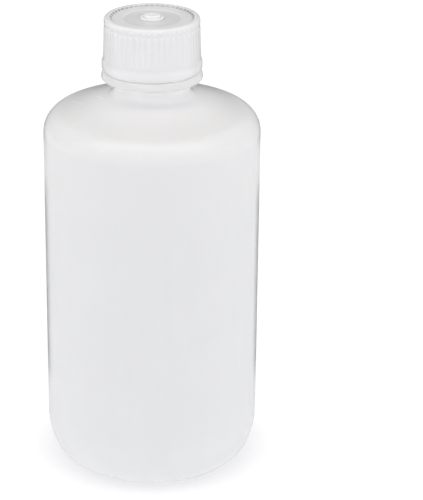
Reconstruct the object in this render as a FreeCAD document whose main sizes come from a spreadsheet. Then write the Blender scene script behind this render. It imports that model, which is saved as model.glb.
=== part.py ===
"""A 250 mL laboratory reagent bottle in milky plastic: bottle, sealing insert and ribbed screw cap.

Millimetres. The origin is the centre of the base, on the surface that the bottle stands on, and +Z runs up
the bottle's axis. The cap is screwed fully home.
"""
import FreeCAD, Part
import Sketcher
import math
import os

SHEET = "Sizes"

# alias, value, what it is
DRIVING_SIZES = [
    ("body_radius", 30.5, "outside radius of the bottle's straight wall"),
    ("wall", 1.2, "thickness of the blown wall"),
    ("foot_radius", 19.4, "inner radius of the flat ring that the bottle stands on"),
    ("push_up", 2.2, "height of the domed base at its middle"),
    ("heel_lower_radius", 7.1, "heel arc next to the foot"),
    ("heel_upper_radius", 20.0, "heel arc next to the wall"),
    ("heel_turn", 28.0, "angle that the upper heel arc turns through"),
    ("wall_top", 99.7, "height where the straight wall ends"),
    ("shoulder_radius", 6.5, "arc between the wall and the shoulder"),
    ("shoulder_slope", 18.0, "slope of the shoulder above the horizontal"),
    ("neck_radius", 10.4, "outside radius of the neck under the bead"),
    ("neck_fillet", 3.5, "arc between the shoulder and the neck"),
    ("bore_radius", 8.2, "radius of the opening through the neck"),
    ("bore_fillet", 4.0, "arc between the shoulder's inside and the bore"),
    ("bead_radius", 14.15, "outside radius of the neck bead"),
    ("bead_bottom", 115.0, "height of the bead's underside"),
    ("bead_height", 2.5, "thickness of the bead"),
    ("bead_low_round", 0.9, "rounding of the bead's underside"),
    ("finish_radius", 10.6, "outside radius of the neck between the threads"),
    ("lip_height", 129.7, "height of the lip"),
    ("lip_round", 0.6, "rounding of the lip's outer edge"),
    ("bore_chamfer", 0.5, "chamfer of the bore's mouth"),
    ("thread_pitch", 3.175, "rise of the thread in one turn"),
    ("thread_turns", 1.75, "turns of each thread"),
    ("thread_depth", 1.2, "height of the bottle's thread above the neck"),
    ("thread_crest", 0.8, "width of a thread at its crest"),
    ("thread_root", 1.9, "width of a thread at its root"),
    ("thread_start", 120.5, "height of the bottle's thread where it starts"),
    ("thread_sink", 0.3, "depth that a thread's root runs into its wall"),
    ("crest_gap", 0.3, "gap between a thread's crest and the wall it faces"),
    ("cap_bottom", 117.7, "height of the cap's lower edge"),
    ("cap_top", 132.8, "height of the cap's rim"),
    ("band_radius", 14.0, "outside radius of the plain band"),
    ("band_height", 2.1, "height of the plain band"),
    ("band_flare", 1.6, "height over which the skirt flares out into the band"),
    ("band_edge", 0.4, "rounding of the band's lower edge"),
    ("rib_foot_radius", 13.65, "radius over the ribs at their foot"),
    ("rib_head_radius", 13.3, "radius over the ribs at the rim"),
    ("rib_depth", 0.4, "how far a rib stands out of the skirt"),
    ("rib_width", 0.9, "width of a rib"),
    ("rib_count", 48.0, "number of ribs round the skirt"),
    ("rim_height", 1.2, "height of the plain rim above the ribs"),
    ("rim_round", 0.5, "rounding of the rim's outer edge"),
    ("recess_radius", 11.6, "radius of the recess in the cap's top, at the rim"),
    ("recess_floor_radius", 11.2, "radius of the recess at its floor"),
    ("recess_depth", 0.5, "depth of the recess"),
    ("boss_radius", 3.1, "radius of the boss at its foot"),
    ("boss_top_radius", 2.15, "radius of the boss at its top"),
    ("boss_height", 1.0, "height of the boss above the recess floor"),
    ("cap_bore", 12.05, "inside radius of the skirt"),
    ("mouth_chamfer", 0.5, "chamfer inside the cap's lower edge"),
    ("catch_radius", 11.3, "inside radius of the ring that holds the seal in the cap"),
    ("catch_height", 0.4, "height of that ring"),
    ("catch_gap", 0.2, "gap between that ring and the seal"),
    ("flange_radius", 11.6, "radius of the seal's flange"),
    ("flange", 1.0, "thickness of the seal's flange"),
    ("plug_gap", 0.15, "radial gap between the seal's plug and the bore"),
    ("plug_depth", 5.0, "length of the plug under the flange"),
    ("plug_taper", 0.6, "how much smaller the plug's radius is at its end"),
    ("plug_wall", 1.0, "wall of the hollow plug"),
]

LEFT = 1
RIGHT = -1


class Measure:
    """A size that is known both as a number and as the sheet expression that gives it."""

    def __init__(self, value, text):
        self.value = value
        self.text = text

    def __add__(self, other):
        return Measure(self.value + other.value, "(%s + %s)" % (self.text, other.text))

    def __sub__(self, other):
        return Measure(self.value - other.value, "(%s - %s)" % (self.text, other.text))

    def __mul__(self, other):
        return Measure(self.value * other.value, "(%s * %s)" % (self.text, other.text))


def plain(number):
    return Measure(number, repr(number))


def sine(angle):
    return Measure(math.sin(math.radians(angle.value)), "sin(%s)" % angle.text)


def cosine(angle):
    return Measure(math.cos(math.radians(angle.value)), "cos(%s)" % angle.text)


def tangent(angle):
    return Measure(math.tan(math.radians(angle.value)), "tan(%s)" % angle.text)


HALF = plain(0.5)
ZERO = plain(0.0)
FULL_TURN = 360.0


class Corner:
    """A corner of an outline, and the edge that leaves it: straight, or an arc that turns left or right."""

    def __init__(self, radius, height, arc=None, side=LEFT):
        self.radius = radius
        self.height = height
        self.arc = arc
        self.side = side

    def point(self):
        return FreeCAD.Vector(self.radius.value, self.height.value, 0)


def make_sheet(doc):
    """Fill the spreadsheet with the driving sizes."""
    sheet = doc.addObject("Spreadsheet::Sheet", SHEET)
    sizes = {}
    for row, (alias, value, meaning) in enumerate(DRIVING_SIZES, start=1):
        sheet.set("A%d" % row, meaning)
        sheet.set("B%d" % row, str(value))
        sheet.setAlias("B%d" % row, alias)
        sizes[alias] = Measure(value, "%s.%s" % (SHEET, alias))
    doc.recompute()
    return sizes


def origin_plane(body, role):
    for feature in body.Origin.OriginFeatures:
        if feature.Role == role:
            return feature
    raise RuntimeError("no origin plane %s" % role)


def edge_geometry(start, end):
    """The edge from one corner to the next, and which of its ends is the first."""
    if start.arc is None:
        return Part.LineSegment(start.point(), end.point()), 1, 2
    chord = end.point() - start.point()
    radius = start.arc.value
    rise = math.sqrt(radius ** 2 - (chord.Length / 2) ** 2)
    towards_centre = FreeCAD.Vector(-chord.y, chord.x, 0).normalize() * (rise * start.side)
    centre = start.point() + chord * HALF.value + towards_centre
    first, last = (start, end) if start.side == LEFT else (end, start)
    from_centre = [corner.point() - centre for corner in (first, last)]
    angles = [math.atan2(arm.y, arm.x) for arm in from_centre]
    circle = Part.Circle(centre, FreeCAD.Vector(0, 0, 1), radius)
    arc = Part.ArcOfCircle(circle, angles[0], angles[1])
    return (arc, 1, 2) if start.side == LEFT else (arc, 2, 1)


def draw_outline(body, name, corners):
    """A closed outline in the body's XZ plane, with every corner and arc bound to the sheet."""
    sketch = body.newObject("Sketcher::SketchObject", name)
    sketch.AttachmentSupport = (origin_plane(body, "XZ_Plane"), [""])
    sketch.MapMode = "FlatFace"
    ends = []
    for index, corner in enumerate(corners):
        geometry, start_end, far_end = edge_geometry(corner, corners[(index + 1) % len(corners)])
        ends.append((sketch.addGeometry(geometry, False), start_end, far_end))

    def bind(kind, arguments, measure, label):
        number = sketch.addConstraint(Sketcher.Constraint(kind, *arguments, measure.value))
        sketch.renameConstraint(number, label)
        sketch.setExpression("Constraints." + label, measure.text)

    for index, corner in enumerate(corners):
        edge, start_end, _ = ends[index]
        before, _, before_end = ends[index - 1]
        sketch.addConstraint(Sketcher.Constraint("Coincident", before, before_end, edge, start_end))
        if corner.radius is ZERO:
            sketch.addConstraint(Sketcher.Constraint("PointOnObject", edge, start_end, -2))
        else:
            bind("DistanceX", (-1, 1, edge, start_end), corner.radius, "radius_%d" % index)
        if corner.height is ZERO:
            sketch.addConstraint(Sketcher.Constraint("PointOnObject", edge, start_end, -1))
        else:
            bind("DistanceY", (-1, 1, edge, start_end), corner.height, "height_%d" % index)
        if corner.arc is not None:
            bind("Radius", (edge,), corner.arc, "arc_%d" % index)
    return sketch


def revolve(body, name, corners):
    """Turn an outline all the way round the body's Z axis."""
    sketch = draw_outline(body, name + "Outline", corners)
    turned = body.newObject("PartDesign::Revolution", name)
    turned.Profile = sketch
    turned.ReferenceAxis = (sketch, ["V_Axis"])
    turned.Angle = FULL_TURN
    return turned


def wind_thread(body, name, corners):
    """Wind a section up the body's Z axis as a right-hand thread."""
    sketch = draw_outline(body, name + "Section", corners)
    thread = body.newObject("PartDesign::AdditiveHelix", name)
    thread.Profile = sketch
    thread.ReferenceAxis = (sketch, ["V_Axis"])
    thread.Mode = "pitch-turns-angle"
    thread.LeftHanded = False
    thread.setExpression("Pitch", SHEET + ".thread_pitch")
    thread.setExpression("Turns", SHEET + ".thread_turns")
    return thread


def thread_section(size, root_radius, crest_radius, middle):
    """A thread's trapezoid, wide at its root and narrow at its crest, going anticlockwise."""
    root = size["thread_root"] * HALF
    crest = size["thread_crest"] * HALF
    corners = [
        Corner(root_radius, middle - root),
        Corner(crest_radius, middle - crest),
        Corner(crest_radius, middle + crest),
        Corner(root_radius, middle + root),
    ]
    return corners


def heel(size, inset):
    """Corners of the heel, from the foot to the wall, moved inwards by inset."""
    turn = size["heel_turn"]
    lower = size["heel_lower_radius"]
    upper = size["heel_upper_radius"]
    reach = upper - lower
    upper_centre = size["body_radius"] - upper
    lower_centre = upper_centre + reach * cosine(turn)
    heel_height = lower + reach * sine(turn)
    foot = Corner(lower_centre, inset, lower - inset)
    join = Corner(
        upper_centre + (upper - inset) * cosine(turn),
        heel_height - (upper - inset) * sine(turn),
        upper - inset,
    )
    wall = Corner(size["body_radius"] - inset, heel_height)
    return foot, join, wall


def shoulder(size, inset, neck_radius, neck_fillet):
    """Corners from the top of the wall to the start of the neck, moved inwards by inset."""
    slope = size["shoulder_slope"]
    arc = size["shoulder_radius"] - inset
    arc_end = Corner(
        size["body_radius"] - size["shoulder_radius"] + arc * sine(slope),
        size["wall_top"] + arc * cosine(slope),
    )
    fillet_radius = neck_radius + neck_fillet - neck_fillet * sine(slope)
    fillet_height = arc_end.height + (arc_end.radius - fillet_radius) * tangent(slope)
    wall_end = Corner(size["body_radius"] - inset, size["wall_top"], arc)
    fillet_start = Corner(fillet_radius, fillet_height, neck_fillet, RIGHT)
    neck_start = Corner(neck_radius, fillet_height + neck_fillet * cosine(slope))
    return wall_end, arc_end, fillet_start, neck_start


def reversed_run(corners):
    """The same run of corners walked the other way."""
    backwards = []
    for here, before in zip(reversed(corners), list(reversed(corners))[1:] + [None]):
        arc = before.arc if before is not None else None
        side = -before.side if before is not None else LEFT
        backwards.append(Corner(here.radius, here.height, arc, side))
    return backwards


def dome_radius(size, half_width, rise):
    """Radius of the arc that rises over half a chord."""
    return Measure(
        (half_width.value ** 2 + rise.value ** 2) / (2 * rise.value),
        "((%s ^ 2 + %s ^ 2) / (2 * %s))" % (half_width.text, rise.text, rise.text),
    )


def make_bottle(doc, size):
    """The blown bottle: push-up base, heel, wall, shoulder, neck, bead, thread and lip."""
    body = doc.addObject("PartDesign::Body", "bottle")
    body.Label = "bottle"
    outside_heel = list(heel(size, ZERO))
    outside_shoulder = list(shoulder(size, ZERO, size["neck_radius"], size["neck_fillet"]))
    inside_heel = list(heel(size, size["wall"]))
    inside_shoulder = list(shoulder(size, size["wall"], size["bore_radius"], size["bore_fillet"]))
    bead_high_round = size["bead_height"] - size["bead_low_round"]
    bead_top = size["bead_bottom"] + size["bead_height"]
    dome = dome_radius(size, size["foot_radius"], size["push_up"])
    outside = [
        Corner(ZERO, size["push_up"], dome, RIGHT),
        Corner(size["foot_radius"], ZERO),
        *outside_heel,
        *outside_shoulder,
        Corner(size["neck_radius"], size["bead_bottom"]),
        Corner(size["bead_radius"] - size["bead_low_round"], size["bead_bottom"], size["bead_low_round"]),
        Corner(size["bead_radius"], size["bead_bottom"] + size["bead_low_round"], bead_high_round),
        Corner(size["bead_radius"] - bead_high_round, bead_top),
        Corner(size["finish_radius"], bead_top),
        Corner(size["finish_radius"], size["lip_height"] - size["lip_round"], size["lip_round"]),
        Corner(size["finish_radius"] - size["lip_round"], size["lip_height"]),
    ]
    mouth = [
        Corner(size["bore_radius"] + size["bore_chamfer"], size["lip_height"]),
        Corner(size["bore_radius"], size["lip_height"] - size["bore_chamfer"]),
    ]
    inside = reversed_run(inside_heel + inside_shoulder)
    floor = [
        Corner(size["foot_radius"], size["wall"], dome, LEFT),
        Corner(ZERO, size["push_up"] + size["wall"]),
    ]
    revolve(body, "Shell", outside + mouth + inside + floor)
    wind_thread(body, "Thread", thread_section(
        size,
        size["finish_radius"] - size["thread_sink"],
        size["finish_radius"] + size["thread_depth"],
        size["thread_start"],
    ))
    return body


def make_seal(doc, size):
    """The sealing insert: a flange on the lip and a hollow plug in the bore."""
    body = doc.addObject("PartDesign::Body", "seal_insert")
    body.Label = "seal_insert"
    lip = size["lip_height"]
    plug_top = size["bore_radius"] - size["plug_gap"]
    plug_end = plug_top - size["plug_taper"]
    plug_bottom = lip - size["plug_depth"]
    revolve(body, "Insert", [
        Corner(ZERO, lip),
        Corner(plug_top - size["plug_wall"], lip),
        Corner(plug_end - size["plug_wall"], plug_bottom),
        Corner(plug_end, plug_bottom),
        Corner(plug_top, lip),
        Corner(size["flange_radius"], lip),
        Corner(size["flange_radius"], lip + size["flange"]),
        Corner(ZERO, lip + size["flange"]),
    ])
    return body


def make_cap(doc, size):
    """The screw cap: recessed top with its boss, ribbed skirt, plain band and inner thread."""
    body = doc.addObject("PartDesign::Body", "cap")
    body.Label = "cap"
    bottom = size["cap_bottom"]
    top = size["cap_top"]
    floor = top - size["recess_depth"]
    ceiling = size["lip_height"] + size["flange"]
    band_top = bottom + size["band_height"]
    skirt_start = band_top + size["band_flare"]
    rib_top = top - size["rim_height"]
    catch_top = ceiling - size["flange"] - size["catch_gap"]
    catch_bottom = catch_top - size["catch_height"]
    slope_out = size["cap_bore"] - size["catch_radius"]
    revolve(body, "Shell", [
        Corner(ZERO, ceiling),
        Corner(size["cap_bore"], ceiling),
        Corner(size["cap_bore"], catch_top),
        Corner(size["catch_radius"], catch_top),
        Corner(size["catch_radius"], catch_bottom),
        Corner(size["cap_bore"], catch_bottom - slope_out),
        Corner(size["cap_bore"], bottom + size["mouth_chamfer"]),
        Corner(size["cap_bore"] + size["mouth_chamfer"], bottom),
        Corner(size["band_radius"] - size["band_edge"], bottom, size["band_edge"]),
        Corner(size["band_radius"], bottom + size["band_edge"]),
        Corner(size["band_radius"], band_top),
        Corner(size["rib_foot_radius"] - size["rib_depth"], skirt_start),
        Corner(size["rib_head_radius"] - size["rib_depth"], rib_top),
        Corner(size["rib_head_radius"], rib_top + size["rib_depth"]),
        Corner(size["rib_head_radius"], top - size["rim_round"], size["rim_round"]),
        Corner(size["rib_head_radius"] - size["rim_round"], top),
        Corner(size["recess_radius"], top),
        Corner(size["recess_floor_radius"], floor),
        Corner(size["boss_radius"], floor),
        Corner(size["boss_top_radius"], floor + size["boss_height"]),
        Corner(ZERO, floor + size["boss_height"]),
    ])
    rib_outline = draw_outline(body, "RibOutline", [
        Corner(size["cap_bore"] + size["thread_sink"], skirt_start),
        Corner(size["rib_foot_radius"], skirt_start),
        Corner(size["rib_head_radius"], rib_top),
        Corner(size["cap_bore"] + size["thread_sink"], rib_top),
    ])
    rib = body.newObject("PartDesign::Pad", "Rib")
    rib.Profile = rib_outline
    rib.SideType = "Symmetric"
    rib.setExpression("Length", SHEET + ".rib_width")
    ribs = body.newObject("PartDesign::PolarPattern", "Ribs")
    ribs.Originals = [rib]
    ribs.Axis = (rib_outline, ["V_Axis"])
    ribs.Angle = FULL_TURN
    ribs.setExpression("Occurrences", SHEET + ".rib_count")
    body.Tip = ribs
    wind_thread(body, "Thread", thread_section(
        size,
        size["cap_bore"] + size["thread_sink"],
        size["finish_radius"] + size["crest_gap"],
        size["thread_start"] - size["thread_pitch"] * HALF,
    ))
    return body


def check_document(doc, bodies):
    """Stop if any feature failed or any piece is not one valid solid."""
    for item in doc.Objects:
        if "Invalid" in item.State or "Error" in item.State:
            raise RuntimeError("%s failed: %s" % (item.Label, item.State))
    for body in bodies:
        shape = body.Shape
        if shape.isNull() or not shape.isValid() or len(shape.Solids) != 1:
            raise RuntimeError("%s is not one valid solid" % body.Label)


def main():
    doc = FreeCAD.newDocument("ReagentBottle")
    size = make_sheet(doc)
    bodies = [make_bottle(doc, size), make_seal(doc, size), make_cap(doc, size)]
    doc.recompute()
    check_document(doc, bodies)
    os.makedirs("parts", exist_ok=True)
    for body in bodies:
        body.Shape.exportStep("parts/%s.step" % body.Label)
        box = body.Shape.BoundBox
        print("%-12s %8.0f mm3  z %.2f to %.2f  x %.2f to %.2f" % (
            body.Label, body.Shape.Volume, box.ZMin, box.ZMax, box.XMin, box.XMax))


main()
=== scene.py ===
"""Looks of a milky laboratory bottle, its seal and its ribbed screw cap, around the CAD frame."""
import math

import bmesh
import bpy
from bpy.props import FloatProperty, FloatVectorProperty, IntProperty, PointerProperty
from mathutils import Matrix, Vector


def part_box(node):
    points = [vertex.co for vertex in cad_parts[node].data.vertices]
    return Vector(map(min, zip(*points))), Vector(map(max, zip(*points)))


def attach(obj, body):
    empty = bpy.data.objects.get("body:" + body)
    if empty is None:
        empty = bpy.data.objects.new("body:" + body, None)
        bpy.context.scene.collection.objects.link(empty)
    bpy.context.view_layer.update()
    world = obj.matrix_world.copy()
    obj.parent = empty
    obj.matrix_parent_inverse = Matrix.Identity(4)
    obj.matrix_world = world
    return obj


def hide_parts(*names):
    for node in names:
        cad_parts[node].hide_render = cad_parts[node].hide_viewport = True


bl_info = {
    "name": "Reagent bottle",
    "version": (1, 0, 0),
    "blender": (4, 5, 0),
    "location": "3D View > Sidebar > Bottle",
    "description": "Builds a milky laboratory bottle with its sealing insert, screw cap and stage",
    "category": "Object",
}

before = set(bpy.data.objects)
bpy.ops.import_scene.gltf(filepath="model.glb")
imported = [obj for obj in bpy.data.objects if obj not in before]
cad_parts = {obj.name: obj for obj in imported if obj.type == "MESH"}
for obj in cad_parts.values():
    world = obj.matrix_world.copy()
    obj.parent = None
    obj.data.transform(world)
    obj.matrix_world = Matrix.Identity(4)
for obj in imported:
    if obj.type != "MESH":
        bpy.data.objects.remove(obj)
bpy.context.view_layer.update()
BOTTLE_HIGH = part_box("bottle")[1]
SEAL_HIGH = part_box("seal_insert")[1]
CAP_LOW, CAP_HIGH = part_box("cap")

MM = 0.001
MERGE_DISTANCE = 0.002 * MM
SMOOTH_ANGLE = math.radians(32)
FULL_TURN = 2 * math.pi

# Shade of the denser plastic beside the clear one
DENSER = 0.975
SEAL_DENSER = 0.97

# Columns round each turned piece
BOTTLE_COLUMNS = 192
SEAL_COLUMNS = 128
RIB_COLUMNS = 10
RIB_COUNT = 48

# Sizes of the bottle's outline, in millimetres
WALL = 1.2
PUSH_UP = 2.2
DOME_RADIUS = 86.64
DOME_EDGE = 77.05
HEEL_CENTRE, HEEL_RADIUS, HEEL_TURN = (10.5, 13.156), 20.0, 28
FOOT_CENTRE, FOOT_ROUND = (21.89, 7.1), 7.1
HEEL_TOP = HEEL_CENTRE[1]
WALL_TOP = 99.7
SHOULDER_ROUND, SHOULDER_TURN = 6.5, 72
NECK_RADIUS = 10.4
FINISH_RADIUS = 10.6
BORE_RADIUS = 8.2
BORE_FOOT = (12.2, 113.312)
BEAD_FOOT, BEAD_TOP = 115.0, 117.64

# Radii of each thread's root and crest, in millimetres
BOTTLE_THREAD = (10.3, 11.8)
CAP_THREAD = (12.35, 10.9)

# Angle of the parting line and the pinch-off bar in degrees, and the line's place in millimetres
PARTING_ANGLE = 3.75
PARTING_WIDTH = 0.28
PARTING_RISE = 1.0011
PARTING_LOW, PARTING_HIGH = 2.5, 113.0
PARTING_WALL, PARTING_NECK, PARTING_HEEL, PARTING_FOOT = 29.9, 105.0, 13.0, 23.0

# Sizes of the cap's outline, in millimetres
CAP_BORE = 12.05
CATCH_RADIUS = 11.3
CATCH_TOP = 129.35
BAND_RADIUS, BAND_TOP = 14.0, 119.9
SKIRT_RADIUS, SKIRT_FOOT = 13.62, 121.4
TEETH_LOW, TEETH_HIGH = 129.9, 130.7
RIM_RADIUS, RIM_FOOT = 13.3, 131.9
RIM_HEIGHT, RECESS_DEPTH, PLUG_DIP = 0.5, 0.5, 0.15

# How far the skirt sinks beside a rib, from its middle to the valley, as shares of the rib's depth
RIB_VALLEYS = (0.0, 0.02, 0.10, 0.78, 1.0, 1.0)
VALLEY_FADE = 2.2
TOOTH_FOOT, TOOTH_SLANT, TOOTH_FULL, TOOTH_DEPTH = 131.0, 0.17, 130.5, 0.14
NOTCH_FACTOR = 1.012

# Painted light and shade on the bottle by height in millimetres: where one starts and is full,
# where it falls and what is left of it then, and the colour
BOTTLE_PAINTED_LIGHT = (
    # painted light: the upper body lighter below the shoulder, where light comes through
    ((70.0, 94.0), ((97.0, 104.0, 0.0),), (0.885, 0.88, 0.89)),
    # painted light: the shoulder lighter
    ((98.0, 106.0), (), (0.925, 0.925, 0.93)),
    # painted light: the neck's foot lighter, against the shade under the bead
    ((108.5, 110.5), (), (0.985, 0.985, 0.985)),
    # painted shade: the bead darker, most at its foot
    ((114.8, 115.0), ((115.4, 117.5, 0.7), (117.6, 117.8, 0.0)), (0.54, 0.54, 0.55)),
    # painted shade: the finish and its thread darker, where the cap covers them
    ((117.7, 118.2), (), (0.62, 0.62, 0.63)),
    # painted light: a lighter band on top of the bead, at the groove under the cap
    ((117.0, 117.45), ((117.6, 117.8, 0.0),), (0.80, 0.80, 0.80)),
)

# Painted glow: light emitted by the neck, by height in millimetres, and painted glints along fine
# scratches: two ends in millimetres and a strength
NECK_LIT_FROM, NECK_LIT_TO = (106.5, 110.0), (114.2, 114.9)
SCRATCH_WIDTH = 0.22 * MM
SCRATCH_LIGHT = 1.6
SCRATCH_GLINTS = (
    ((-15.49, 0.83, 109.29), (-13.56, -2.89, 109.83), 0.9),
    ((-22.49, 3.38, 106.94), (-19.15, -2.67, 108.05), 0.8),
    ((-21.7, -13.99, 105.94), (-18.75, -12.13, 107.08), 0.5),
    ((-13.71, -26.21, 103.0), (-13.49, -26.41, 102.84), 0.9),
)

# Painted light and shade on the cap's top: radii in millimetres where one rises and falls, how it
# goes from the cap's front (-1) to its rear (1), and the colour
# painted shade: a darker disc over the hollow under the top
PLUG_SHADE = (None, (7.6, 8.1), None, (0.635, 0.64, 0.66))
# painted light: the boss lighter than the shaded disc round it
BOSS_LIGHT = (None, (3.15, 3.35), None, (0.75, 0.755, 0.765))
# painted shade: the rim darker, most at the rear
REAR_RIM_SHADE = ((12.0, 12.4), None, (-0.5, 0.3, 0.35, 1.0), (0.56, 0.565, 0.575))
# painted highlight: the rim's inner edge lighter at the front
FRONT_RIM_HIGHLIGHT = ((11.6, 11.75), (12.0, 12.25), (-0.7, -0.1, 1.0, 0.0), (0.80, 0.80, 0.81))
# painted shade: the recess wall darker at the rear
RECESS_WALL_SHADE = ((11.2, 11.4), (11.7, 11.9), (-0.3, 0.1, 0.0, 1.0), (0.52, 0.525, 0.54))
CAP_TOP_LIGHT_AND_SHADE = (PLUG_SHADE, BOSS_LIGHT, REAR_RIM_SHADE, FRONT_RIM_HIGHLIGHT, RECESS_WALL_SHADE)
CAP_TOP_FROM = (131.8, 132.1)

# Painted shade on the recess wall as dark slanted dashes: how they slant, where they are, and their
# colour
DASH_SHADE_SLANT = 1600.0
DASH_SHADE_RADII, DASH_SHADE_TOP = ((10.9, 11.15), (11.75, 11.9)), (132.72, 132.79)
DASH_SHADE_COLOUR = (0.28, 0.33, 0.36)

# Painted light and shade on the cap's skirt, by height and radius in millimetres: a painted highlight
# on the low edge, painted shade on the flanks, and rows of short painted glints on the rib tops
# painted highlight: the cap's low edge lighter
LOW_EDGE_HIGHLIGHT_HEIGHTS, LOW_EDGE_HIGHLIGHT_COLOUR = (117.8, 118.5), (0.78, 0.78, 0.79)
SKIRT_RADII = (12.9, 13.0)
# painted shade: the skirt darker on its left and right flanks
FLANK_SHADE_COLOUR = (0.625, 0.625, 0.635)
# painted glints: short bright dashes on the slanted rib tops, an upper row and a fainter lower row
GLINT_PHASE, GLINT_SLANT = math.pi - 130.2, 1000.0
UPPER_GLINTS = ((129.85, 130.0), (130.5, 130.65))
LOWER_GLINTS, LOWER_GLINT_SHARE = ((126.3, 126.45), (126.8, 126.95)), 0.4
GLINT_COLOUR = (0.745, 0.745, 0.75)

# Light that the floor gives other pieces, by distance from the bottle's axis in metres
FLOOR_SPREAD = (0.05, 0.30, 1.15, 1.06)
FLOOR_MIRRORED, FLOOR_DARK = 0.76, 0.05
DARK_HALF_WIDTH, DARK_SLOPE = 0.030, (0.45, 0.75)
DARK_STARTS, DARK_NEAR = (0.0, 0.02), (0.048, 0.085)
DARK_FADES, DARK_RETURNS = (0.20, 0.245, 1.0, 0.2), (0.268, 0.285, 0.0, 0.8)
FLOOR_COLOURS = ((0.43, 0.43, 0.445, 1), (0.44, 0.44, 0.455, 1))
SHADOW_RADII, SHADOW_SHARE = (0.021, 0.040), 0.62

# Light that the surround gives, by how far up and how far back a ray points
SURROUND_SPREAD = ((0.0, 1.33), (0.45, 1.32), (0.75, 0.74), (1.0, 0.15))
SURROUND_MIRRORED = ((0.0, 0.3), (0.35, 0.4), (0.6, 0.9), (0.9, 0.9), (1.0, 0.6))
SPREAD_BACK, MIRRORED_BACK = (-0.8, 0.8, 1.10, 0.93), (-0.5, 0.3, 1.2, 0.8)
SURROUND_TINT = (1.0, 1.0, 1.01, 1)

# The soft light: its place, the point that it faces, its size and its colour
SOFTBOX_PLACE, SOFTBOX_TARGET = (0.0, -0.20, 0.90), (0.0, 0.0, 0.08)
SOFTBOX_SIZE, SOFTBOX_COLOUR = (1.6, 0.50), (1.0, 0.93, 0.84)

THREAD_STEPS = 168
THREAD_END_STEPS = 16


# ---- outlines, in millimetres

def arc(centre, radius, first, last, pieces):
    """Points along an arc from one angle to another, in degrees, both ends included."""
    points = []
    for step in range(pieces + 1):
        angle = math.radians(first + (last - first) * step / pieces)
        points.append((centre[0] + radius * math.cos(angle),
                       centre[1] + radius * math.sin(angle)))
    return points


def run(start, end, pieces):
    """Points along a straight run, the start left out."""
    return [
        (start[0] + (end[0] - start[0]) * step / pieces,
         start[1] + (end[1] - start[1]) * step / pieces)
        for step in range(1, pieces + 1)
    ]


def ease(start, end, pieces):
    """Points from start to end along an S whose ends both run up the height."""
    points = []
    for step in range(1, pieces + 1):
        share = step / pieces
        swing = share * share * (3 - 2 * share)
        points.append((start[0] + (end[0] - start[0]) * swing,
                       start[1] + (end[1] - start[1]) * share))
    return points


def in_metres(outline):
    """An outline in millimetres as metres, without points that repeat the one before."""
    points = []
    for radius, height in outline:
        here = (max(radius, 0.0) * MM, height * MM)
        if not points or math.dist(points[-1], here) > MERGE_DISTANCE:
            points.append(here)
    return points


# ---- modelling tools

def leave_edit():
    bpy.ops.object.mode_set(mode="OBJECT")


def pick_all():
    bpy.ops.mesh.select_all(action="SELECT")


def stretch(x, y, z):
    """Scale what is selected about the origin."""
    bpy.ops.transform.resize(value=(x, y, z), center_override=(0, 0, 0))


def select_nothing():
    if bpy.context.object is not None and bpy.context.object.mode != "OBJECT":
        leave_edit()
    bpy.ops.object.select_all(action="DESELECT")


def select_piece(piece):
    select_nothing()
    piece.select_set(True)
    bpy.context.view_layer.objects.active = piece


def edit_piece(piece):
    select_piece(piece)
    bpy.ops.object.mode_set(mode="EDIT")
    bpy.ops.mesh.select_mode(type="VERT")


def select_points(piece, wanted):
    """In edit mode, select the vertices whose place is wanted, and say how many there are."""
    mesh = bmesh.from_edit_mesh(piece.data)
    count = 0
    for vertex in mesh.verts:
        chosen = bool(wanted(vertex.co))
        vertex.select_set(chosen)
        count += chosen
    mesh.select_flush_mode()
    bmesh.update_edit_mesh(piece.data)
    return count


def draw_outline(name, outline):
    """A new piece in edit mode: a line of (radius, height) points, extruded from one vertex."""
    select_nothing()
    bpy.ops.mesh.primitive_plane_add(size=MM, location=(0, 0, 0))
    piece = bpy.context.object
    piece.name = piece.data.name = name
    bpy.ops.object.mode_set(mode="EDIT")
    bpy.ops.mesh.select_mode(type="VERT")
    pick_all()
    bpy.ops.mesh.merge(type="CENTER")
    bpy.ops.transform.translate(value=(outline[0][0], 0, outline[0][1]))
    for here, there in zip(outline, outline[1:]):
        step = (there[0] - here[0], 0, there[1] - here[1])
        bpy.ops.mesh.extrude_vertices_move(TRANSFORM_OT_translate={"value": step})
    pick_all()
    return piece


def spin(steps, angle, **how):
    """In edit mode, turn what is selected round Z."""
    bpy.ops.mesh.spin(steps=steps, angle=angle, center=(0, 0, 0), axis=(0, 0, 1), **how)


def close_up():
    """In edit mode, merge doubles and point every face outwards."""
    pick_all()
    bpy.ops.mesh.remove_doubles(threshold=MERGE_DISTANCE)
    pick_all()
    bpy.ops.mesh.normals_make_consistent(inside=False)


def turn_piece(name, outline, columns):
    """Turn an outline all the way round Z, and stay in edit mode."""
    piece = draw_outline(name, outline)
    spin(columns, FULL_TURN, dupli=False)
    close_up()
    return piece


def apply_modifier(piece, modifier):
    select_piece(piece)
    bpy.ops.object.modifier_apply(modifier=modifier.name)


def unite(piece, other):
    """Fuse another solid into the piece."""
    select_piece(piece)
    modifier = piece.modifiers.new("Fuse", "BOOLEAN")
    modifier.operation = "UNION"
    modifier.solver = "EXACT"
    modifier.object = other
    before = len(piece.data.vertices)
    apply_modifier(piece, modifier)
    if len(piece.data.vertices) <= before:
        raise RuntimeError("nothing was fused into %s" % piece.name)
    bpy.data.objects.remove(other, do_unlink=True)


def azimuth(place):
    return math.degrees(math.atan2(place.y, place.x)) % 360


def reach(place):
    return math.hypot(place.x, place.y)


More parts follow.
